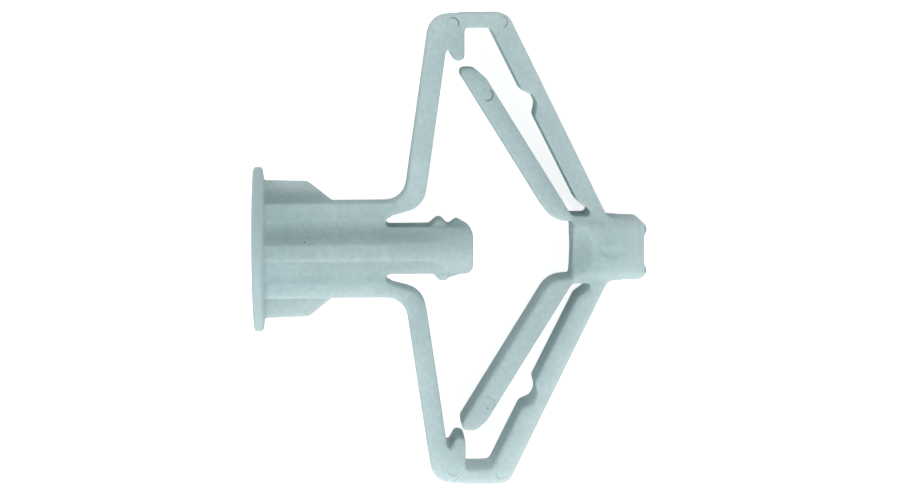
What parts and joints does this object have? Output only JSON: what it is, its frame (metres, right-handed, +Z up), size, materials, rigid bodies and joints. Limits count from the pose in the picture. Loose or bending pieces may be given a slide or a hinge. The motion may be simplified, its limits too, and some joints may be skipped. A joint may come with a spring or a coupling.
{
  "type": "plastic drywall anchor",
  "caption": "Folding plastic wall anchor with a round head, fluted barrel, toothed prong, two hinged wings and a nose the screw draws in.",
  "frame": {"origin": "centre of the head's outer face, on the screw's axis", "axes": "+Y along the two wings, +Z up through the flat of the wings as the anchor lies, +X towards the nose; the screw's axis is leant nose-down in the XZ plane, because the anchor lies on the rim of its head and the end of its nose"},
  "size_m": [0.0399, 0.0468, 0.0163],
  "materials": {
    "plastic": "satin pale blue-grey moulded polymer, unpainted, with fine mottling"
  },
  "bodies": {
    "root": {"anchor": "plastic"}
  },
  "joints": []
}
